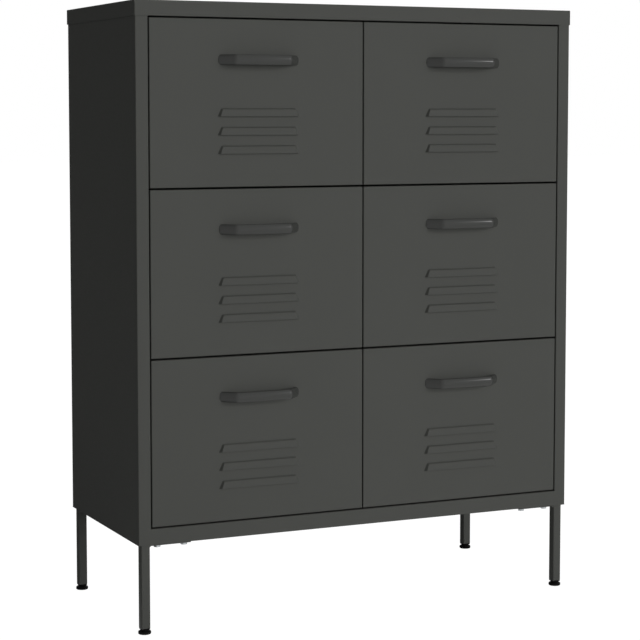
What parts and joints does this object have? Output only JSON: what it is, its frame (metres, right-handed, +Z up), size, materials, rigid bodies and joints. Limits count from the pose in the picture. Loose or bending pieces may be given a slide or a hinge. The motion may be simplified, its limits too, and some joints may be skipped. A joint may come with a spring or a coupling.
{
  "type": "metal drawer cabinet",
  "caption": "Tall sheet-steel drawer cabinet on slim square legs, with two columns of deep drawers that slide out on ball runners, bow handles and pressed louvres.",
  "frame": {"origin": "on the floor, under the middle of the whole cabinet with its handles", "axes": "+Z up, the drawers open towards -Y, +X to the right of someone who faces the drawers"},
  "size_m": [0.8, 0.3727, 1.015],
  "materials": {
    "anthracite_powder_coat": "fine matt powder coat",
    "satin_anthracite_lacquer": "satin lacquer",
    "drawer_box_powder_coat": "fine matt powder coat",
    "zinc_runners": "bright zinc plate",
    "zinc_fasteners": "zinc plate",
    "black_plastic": "moulded, fine texture"
  },
  "bodies": {
    "cabinet": {"top_panel": "anthracite_powder_coat", "left_side_panel": "anthracite_powder_coat", "right_side_panel": "anthracite_powder_coat", "back_panel": "anthracite_powder_coat", "bottom_panel": "anthracite_powder_coat", "centre_partition": "anthracite_powder_coat", "carcass_fasteners": "zinc_fasteners", "leg_plugs": "black_plastic", "leg_bolts": "zinc_fasteners", "runner_screws": "zinc_fasteners", "leg_front_left": "anthracite_powder_coat", "leg_front_right": "anthracite_powder_coat", "leg_back_left": "anthracite_powder_coat", "leg_back_right": "anthracite_powder_coat", "cabinet_runners_bottom_left": "zinc_runners", "cabinet_runners_bottom_right": "zinc_runners", "cabinet_runners_middle_left": "zinc_runners", "cabinet_runners_middle_right": "zinc_runners", "cabinet_runners_top_left": "zinc_runners", "cabinet_runners_top_right": "zinc_runners"},
    "drawer_bottom_left": {"drawer_front_bottom_left": "anthracite_powder_coat", "drawer_box_bottom_left": "drawer_box_powder_coat", "handle_bottom_left": "satin_anthracite_lacquer", "drawer_fasteners_bottom_left": "zinc_fasteners", "drawer_runners_bottom_left": "zinc_runners"},
    "cages_bottom_left": {"ball_cages_bottom_left": "zinc_runners"},
    "drawer_bottom_right": {"drawer_front_bottom_right": "anthracite_powder_coat", "drawer_box_bottom_right": "drawer_box_powder_coat", "handle_bottom_right": "satin_anthracite_lacquer", "drawer_fasteners_bottom_right": "zinc_fasteners", "drawer_runners_bottom_right": "zinc_runners"},
    "cages_bottom_right": {"ball_cages_bottom_right": "zinc_runners"},
    "drawer_middle_left": {"drawer_front_middle_left": "anthracite_powder_coat", "drawer_box_middle_left": "drawer_box_powder_coat", "handle_middle_left": "satin_anthracite_lacquer", "drawer_fasteners_middle_left": "zinc_fasteners", "drawer_runners_middle_left": "zinc_runners"},
    "cages_middle_left": {"ball_cages_middle_left": "zinc_runners"},
    "drawer_middle_right": {"drawer_front_middle_right": "anthracite_powder_coat", "drawer_box_middle_right": "drawer_box_powder_coat", "handle_middle_right": "satin_anthracite_lacquer", "drawer_fasteners_middle_right": "zinc_fasteners", "drawer_runners_middle_right": "zinc_runners"},
    "cages_middle_right": {"ball_cages_middle_right": "zinc_runners"},
    "drawer_top_left": {"drawer_front_top_left": "anthracite_powder_coat", "drawer_box_top_left": "drawer_box_powder_coat", "handle_top_left": "satin_anthracite_lacquer", "drawer_fasteners_top_left": "zinc_fasteners", "drawer_runners_top_left": "zinc_runners"},
    "cages_top_left": {"ball_cages_top_left": "zinc_runners"},
    "drawer_top_right": {"drawer_front_top_right": "anthracite_powder_coat", "drawer_box_top_right": "drawer_box_powder_coat", "handle_top_right": "satin_anthracite_lacquer", "drawer_fasteners_top_right": "zinc_fasteners", "drawer_runners_top_right": "zinc_runners"},
    "cages_top_right": {"ball_cages_top_right": "zinc_runners"},
    "foot_front_left": {"foot_front_left": "black_plastic"},
    "foot_front_right": {"foot_front_right": "black_plastic"},
    "foot_back_left": {"foot_back_left": "black_plastic"},
    "foot_back_right": {"foot_back_right": "black_plastic"}
  },
  "joints": [
    {"name": "drawer_bottom_left_slide", "type": "slide", "parent": "cabinet", "child": "drawer_bottom_left", "axis": [0, -1, 0], "range_m": [0, 0.225]},
    {"name": "cages_bottom_left_slide", "type": "slide", "parent": "cabinet", "child": "cages_bottom_left", "axis": [0, -1, 0], "range_m": [0, 0.1125]},
    {"name": "drawer_bottom_right_slide", "type": "slide", "parent": "cabinet", "child": "drawer_bottom_right", "axis": [0, -1, 0], "range_m": [0, 0.225]},
    {"name": "cages_bottom_right_slide", "type": "slide", "parent": "cabinet", "child": "cages_bottom_right", "axis": [0, -1, 0], "range_m": [0, 0.1125]},
    {"name": "drawer_middle_left_slide", "type": "slide", "parent": "cabinet", "child": "drawer_middle_left", "axis": [0, -1, 0], "range_m": [0, 0.225]},
    {"name": "cages_middle_left_slide", "type": "slide", "parent": "cabinet", "child": "cages_middle_left", "axis": [0, -1, 0], "range_m": [0, 0.1125]},
    {"name": "drawer_middle_right_slide", "type": "slide", "parent": "cabinet", "child": "drawer_middle_right", "axis": [0, -1, 0], "range_m": [0, 0.225]},
    {"name": "cages_middle_right_slide", "type": "slide", "parent": "cabinet", "child": "cages_middle_right", "axis": [0, -1, 0], "range_m": [0, 0.1125]},
    {"name": "drawer_top_left_slide", "type": "slide", "parent": "cabinet", "child": "drawer_top_left", "axis": [0, -1, 0], "range_m": [0, 0.225]},
    {"name": "cages_top_left_slide", "type": "slide", "parent": "cabinet", "child": "cages_top_left", "axis": [0, -1, 0], "range_m": [0, 0.1125]},
    {"name": "drawer_top_right_slide", "type": "slide", "parent": "cabinet", "child": "drawer_top_right", "axis": [0, -1, 0], "range_m": [0, 0.225]},
    {"name": "cages_top_right_slide", "type": "slide", "parent": "cabinet", "child": "cages_top_right", "axis": [0, -1, 0], "range_m": [0, 0.1125]},
    {"name": "foot_front_left_screw", "type": "slide", "parent": "cabinet", "child": "foot_front_left", "axis": [0, 0, -1], "range_m": [0, 0.01]},
    {"name": "foot_front_right_screw", "type": "slide", "parent": "cabinet", "child": "foot_front_right", "axis": [0, 0, -1], "range_m": [0, 0.01]},
    {"name": "foot_back_left_screw", "type": "slide", "parent": "cabinet", "child": "foot_back_left", "axis": [0, 0, -1], "range_m": [0, 0.01]},
    {"name": "foot_back_right_screw", "type": "slide", "parent": "cabinet", "child": "foot_back_right", "axis": [0, 0, -1], "range_m": [0, 0.01]}
  ],
  "couplings": [
    {"joint": "cages_bottom_left_slide", "follows": "drawer_bottom_left_slide", "ratio": 0.5},
    {"joint": "cages_bottom_right_slide", "follows": "drawer_bottom_right_slide", "ratio": 0.5},
    {"joint": "cages_middle_left_slide", "follows": "drawer_middle_left_slide", "ratio": 0.5},
    {"joint": "cages_middle_right_slide", "follows": "drawer_middle_right_slide", "ratio": 0.5},
    {"joint": "cages_top_left_slide", "follows": "drawer_top_left_slide", "ratio": 0.5},
    {"joint": "cages_top_right_slide", "follows": "drawer_top_right_slide", "ratio": 0.5}
  ]
}
